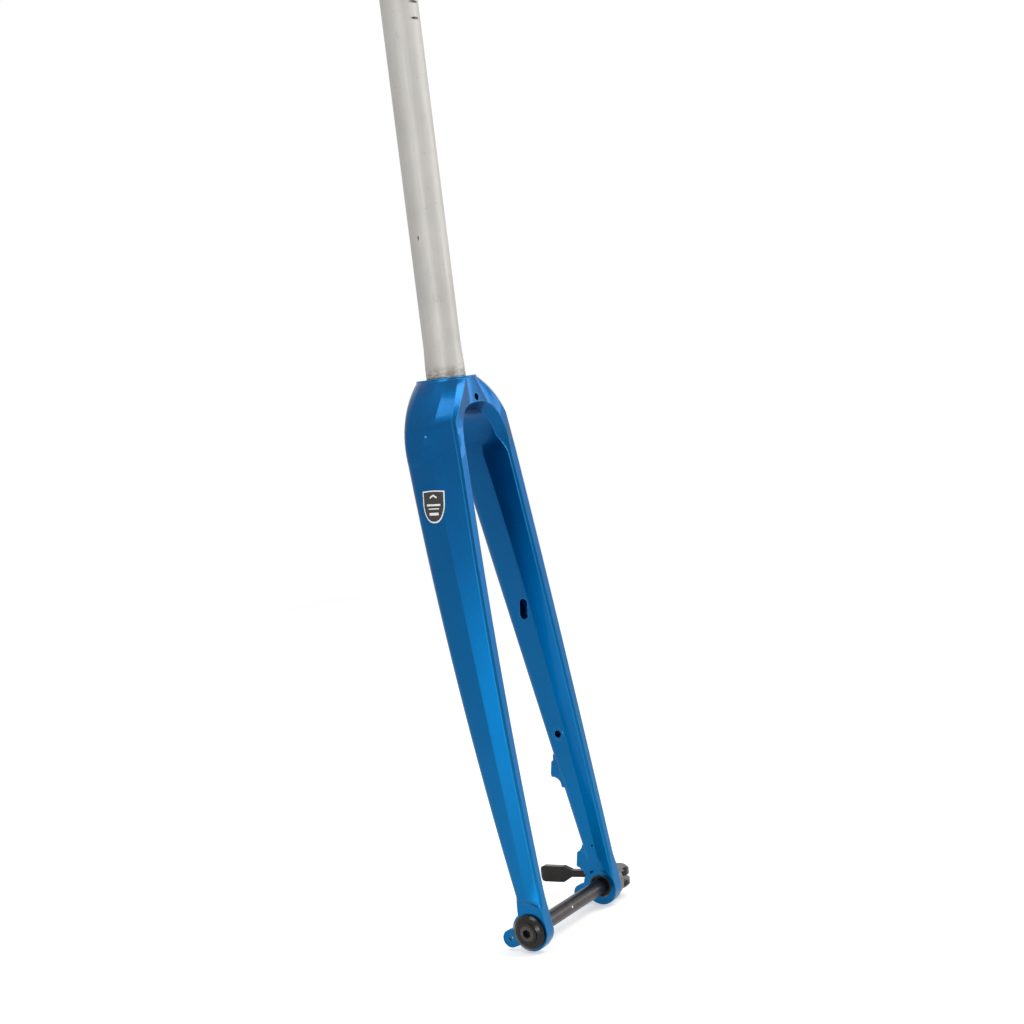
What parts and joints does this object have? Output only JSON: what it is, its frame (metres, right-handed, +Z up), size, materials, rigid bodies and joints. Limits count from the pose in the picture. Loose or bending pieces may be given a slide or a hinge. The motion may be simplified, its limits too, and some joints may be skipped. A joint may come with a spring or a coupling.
{
  "type": "bicycle fork",
  "caption": "Rigid disc-brake bicycle fork: faceted blue crown and legs, bare aluminium steerer, thru-axle with a cam lever and flanged nut.",
  "frame": {"origin": "on the steerer axis at the crown's top face, where the lower headset race sits", "axes": "+Z up along the steerer axis, -Y the riding direction, +X the rider's left (disc side)"},
  "size_m": [0.1491, 0.089, 0.7246],
  "materials": {
    "blue_paint": "gloss metallic",
    "bare_aluminium": "satin",
    "black_anodised": "satin",
    "dark_axle": "satin",
    "grey_washer": "satin"
  },
  "bodies": {
    "fork": {"fork_body": "blue_paint", "steerer_tube": "bare_aluminium", "caliper_insert_upper": "bare_aluminium", "caliper_insert_lower": "bare_aluminium", "dropout_bush": "black_anodised", "axle_nut": "black_anodised"},
    "washer": {"flat_washer": "grey_washer"},
    "axle": {"thru_axle": "dark_axle", "cam_pin": "grey_washer", "cam_washer": "grey_washer"},
    "lever": {"cam_lever": "black_anodised"}
  },
  "joints": [
    {"name": "axle_pull", "type": "slide", "parent": "fork", "child": "washer", "axis": [1, 0, 0], "range_m": [0, 0.13]},
    {"name": "axle_spin", "type": "hinge", "parent": "washer", "child": "axle", "pos_m": [0, -0.051, -0.40984], "axis": [1, 0, 0], "continuous": true},
    {"name": "lever_cam", "type": "hinge", "parent": "axle", "child": "lever", "pos_m": [0.0765, -0.051, -0.40984], "axis": [0, 0.0087, -1], "range_deg": [0, 180]}
  ]
}
